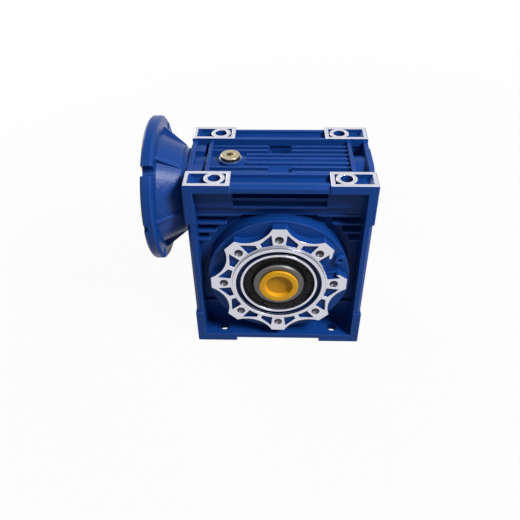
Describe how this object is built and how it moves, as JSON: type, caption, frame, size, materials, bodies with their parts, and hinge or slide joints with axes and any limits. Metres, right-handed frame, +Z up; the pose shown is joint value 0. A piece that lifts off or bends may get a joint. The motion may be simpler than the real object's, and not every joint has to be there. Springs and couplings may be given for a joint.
{
  "type": "worm gear reducer",
  "caption": "Right-angle worm gear reducer: square ribbed casing, hollow keyed output shaft between bolt faces and a bell-shaped motor flange.",
  "frame": {"origin": "middle of the output bore", "axes": "+Y along the output shaft towards the side cover, +X along the worm away from the motor flange, +Z up from the feet"},
  "size_m": [0.249, 0.165, 0.2755],
  "materials": {
    "blue_paint": "gloss blue paint over die-cast aluminium, machined faces bare",
    "gasket": "matt gasket paper",
    "black_steel": "black oxide",
    "zinc_plate": "yellow zinc plate",
    "black_rubber": "matt nitrile rubber",
    "steel": "ground steel",
    "bronze": "machined bronze",
    "yellow_plastic": "moulded polythene"
  },
  "bodies": {
    "casing": {"housing": "blue_paint", "side_cover": "blue_paint", "side_cover_gasket": "gasket", "side_cover_screws": "black_steel", "input_flange": "blue_paint", "input_flange_gasket": "gasket", "input_flange_screws": "black_steel", "filler_plug": "zinc_plate", "filler_plug_seal": "black_rubber", "filler_plug_washer": "zinc_plate", "level_plug": "blue_paint", "front_output_seal": "black_rubber", "rear_output_seal": "black_rubber", "worm_input_seal": "black_rubber", "worm_end_cap": "black_rubber", "input_bearing_circlip": "steel", "blind_bearing_circlip": "steel", "front_output_bearing_cup": "steel", "rear_output_bearing_cup": "steel", "input_worm_bearing_cup": "steel", "blind_worm_bearing_cup": "steel"},
    "output_shaft": {"output_hollow_shaft": "steel", "worm_wheel_rim": "bronze", "front_output_bearing_cone": "steel", "rear_output_bearing_cone": "steel"},
    "worm": {"worm_shaft": "steel", "input_worm_bearing_cone": "steel", "blind_worm_bearing_cone": "steel"},
    "bore_plug": {"front_bore_plug": "yellow_plastic"},
    "front_output_roller_set": {"front_output_bearing_rollers": "steel"},
    "rear_output_roller_set": {"rear_output_bearing_rollers": "steel"},
    "input_worm_roller_set": {"input_worm_bearing_rollers": "steel"},
    "blind_worm_roller_set": {"blind_worm_bearing_rollers": "steel"}
  },
  "joints": [
    {"name": "output_spin", "type": "hinge", "parent": "casing", "child": "output_shaft", "pos_m": [0, 0, 0], "axis": [0, 1, 0], "continuous": true},
    {"name": "worm_spin", "type": "hinge", "parent": "casing", "child": "worm", "pos_m": [0, 0, 0.09], "axis": [1, 0, 0], "continuous": true},
    {"name": "front_output_rollers_circle", "type": "hinge", "parent": "casing", "child": "front_output_roller_set", "pos_m": [0, 0, 0], "axis": [0, 1, 0], "continuous": true},
    {"name": "rear_output_rollers_circle", "type": "hinge", "parent": "casing", "child": "rear_output_roller_set", "pos_m": [0, 0, 0], "axis": [0, 1, 0], "continuous": true},
    {"name": "input_worm_rollers_circle", "type": "hinge", "parent": "casing", "child": "input_worm_roller_set", "pos_m": [0, 0, 0.09], "axis": [1, 0, 0], "continuous": true},
    {"name": "blind_worm_rollers_circle", "type": "hinge", "parent": "casing", "child": "blind_worm_roller_set", "pos_m": [0, 0, 0.09], "axis": [1, 0, 0], "continuous": true},
    {"name": "bore_plug_pull", "type": "slide", "parent": "output_shaft", "child": "bore_plug", "axis": [0, -1, 0], "range_m": [0, 0.016]}
  ],
  "couplings": [
    {"joint": "worm_spin", "follows": "output_spin", "ratio": -30},
    {"joint": "front_output_rollers_circle", "follows": "output_spin", "ratio": 0.447},
    {"joint": "rear_output_rollers_circle", "follows": "output_spin", "ratio": 0.447},
    {"joint": "input_worm_rollers_circle", "follows": "output_spin", "ratio": -13.173},
    {"joint": "blind_worm_rollers_circle", "follows": "output_spin", "ratio": -12.549}
  ]
}
